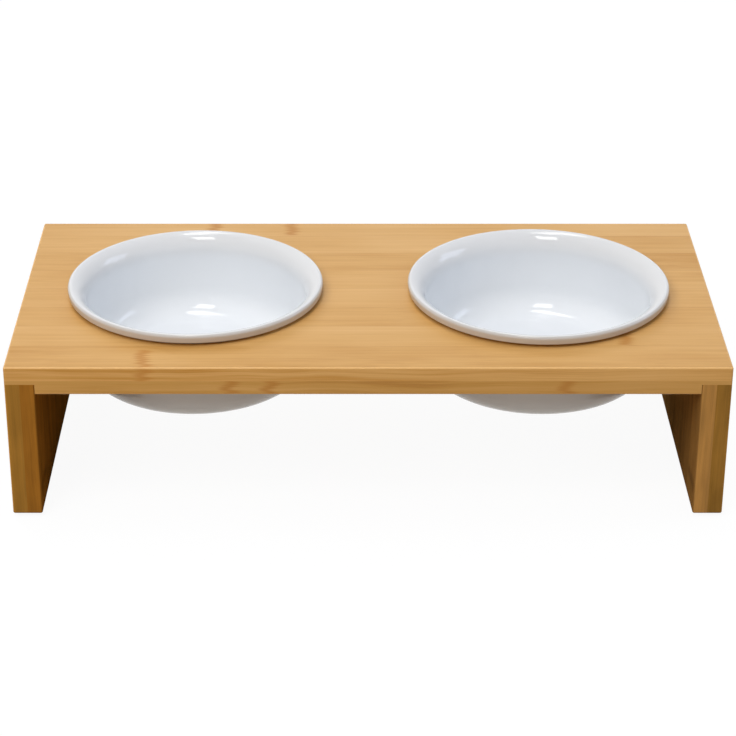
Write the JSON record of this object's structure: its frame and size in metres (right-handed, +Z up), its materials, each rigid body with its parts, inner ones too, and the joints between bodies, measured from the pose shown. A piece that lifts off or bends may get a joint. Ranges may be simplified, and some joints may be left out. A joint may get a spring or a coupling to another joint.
{
  "type": "elevated dog feeder",
  "caption": "Low bamboo feeding stand on upright end boards, with white glazed bowls that hang by their lips in round holes and lift out.",
  "frame": {"origin": "on the floor under the middle of the board", "axes": "+X along the board to the right as seen from the front, +Y to the back, +Z up"},
  "size_m": [0.36, 0.18, 0.0913],
  "materials": {
    "board_upper_bamboo": "satin clear lacquer on carbonised bamboo",
    "board_lower_bamboo": "satin clear lacquer on carbonised bamboo",
    "leg_outer_bamboo": "satin clear lacquer on carbonised bamboo",
    "leg_inner_bamboo": "satin clear lacquer on carbonised bamboo",
    "dowel_beech": "plain turned wood",
    "pad_rubber": "matt",
    "white_glaze": "clear gloss glaze on white stoneware"
  },
  "bodies": {
    "stand": {"top_board_upper_ply": "board_upper_bamboo", "top_board_lower_ply": "board_lower_bamboo", "left_leg_outer_ply": "leg_outer_bamboo", "left_leg_inner_ply": "leg_inner_bamboo", "right_leg_outer_ply": "leg_outer_bamboo", "right_leg_inner_ply": "leg_inner_bamboo", "left_leg_dowel_front": "dowel_beech", "left_leg_dowel_middle": "dowel_beech", "left_leg_dowel_back": "dowel_beech", "right_leg_dowel_front": "dowel_beech", "right_leg_dowel_middle": "dowel_beech", "right_leg_dowel_back": "dowel_beech", "left_front_pad": "pad_rubber", "left_back_pad": "pad_rubber", "right_front_pad": "pad_rubber", "right_back_pad": "pad_rubber"},
    "left_bowl": {"left_bowl": "white_glaze"},
    "right_bowl": {"right_bowl": "white_glaze"}
  },
  "joints": [
    {"name": "left_bowl_lift", "type": "slide", "parent": "stand", "child": "left_bowl", "axis": [0, 0, 1], "range_m": [0, 0.06]},
    {"name": "right_bowl_lift", "type": "slide", "parent": "stand", "child": "right_bowl", "axis": [0, 0, 1], "range_m": [0, 0.06]}
  ]
}
